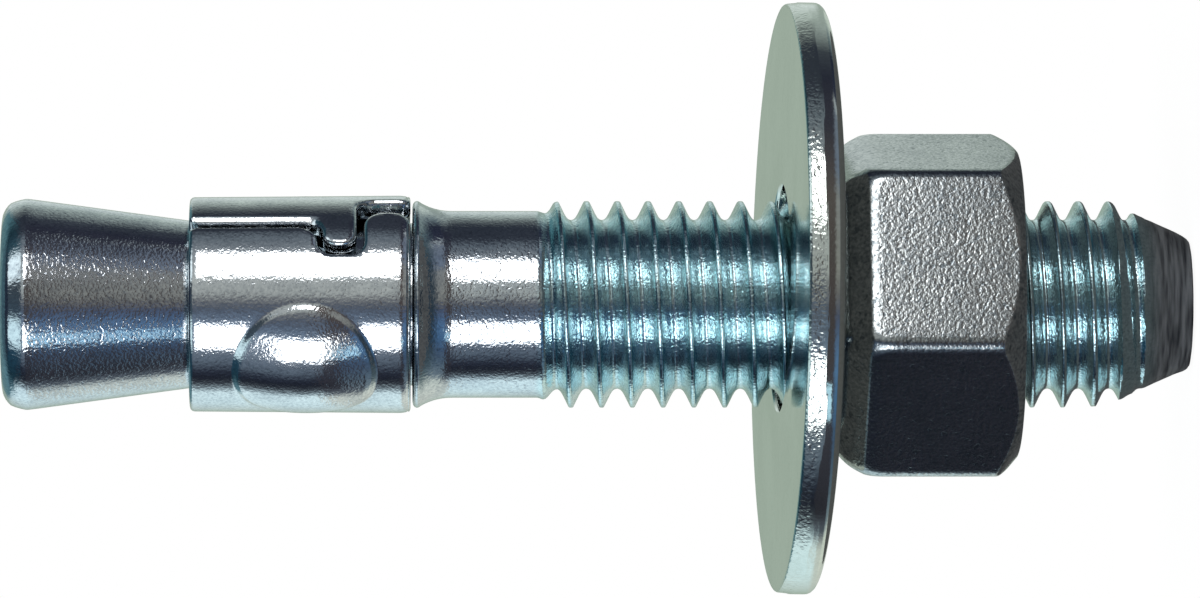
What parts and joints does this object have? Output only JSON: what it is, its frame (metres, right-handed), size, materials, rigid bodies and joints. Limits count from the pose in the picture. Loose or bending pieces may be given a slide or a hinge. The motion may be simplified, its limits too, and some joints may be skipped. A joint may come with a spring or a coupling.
{
  "type": "wedge anchor",
  "caption": "Wedge expansion anchor for concrete: a threaded stud with a collar, neck and cone, a split expansion clip, a flat washer and a hex nut.",
  "frame": {"origin": "centre of the threaded end's face, on which the anchor stands", "axes": "+Z along the stud's axis, from the threaded end up to the cone; -Y is the side that the picture shows, and +X is up in the picture"},
  "size_m": [0.0445, 0.0443, 0.0889],
  "materials": {
    "zinc_body": "bright zinc plate",
    "zinc_clip": "bright zinc plate",
    "zinc_washer": "satin zinc plate",
    "zinc_nut": "bright zinc plate"
  },
  "bodies": {
    "anchor": {"anchor_body": "zinc_body"},
    "clip": {"expansion_clip": "zinc_clip"},
    "washer": {"flat_washer": "zinc_washer"},
    "nut": {"hex_nut": "zinc_nut"}
  },
  "joints": [
    {"name": "clip_spin", "type": "hinge", "parent": "anchor", "child": "clip", "pos_m": [0, 0, 0.0666], "axis": [0, 0, 1], "continuous": true},
    {"name": "nut_travel", "type": "slide", "parent": "anchor", "child": "washer", "axis": [0, 0, 1], "range_m": [-0.01288, 0.0185]},
    {"name": "nut_spin", "type": "hinge", "parent": "washer", "child": "nut", "pos_m": [0, 0, 0.02], "axis": [0, 0, 1], "range_deg": [-2005, 2880]}
  ],
  "couplings": [
    {"joint": "nut_travel", "follows": "nut_spin", "m_per_rad": 0.0003675}
  ]
}
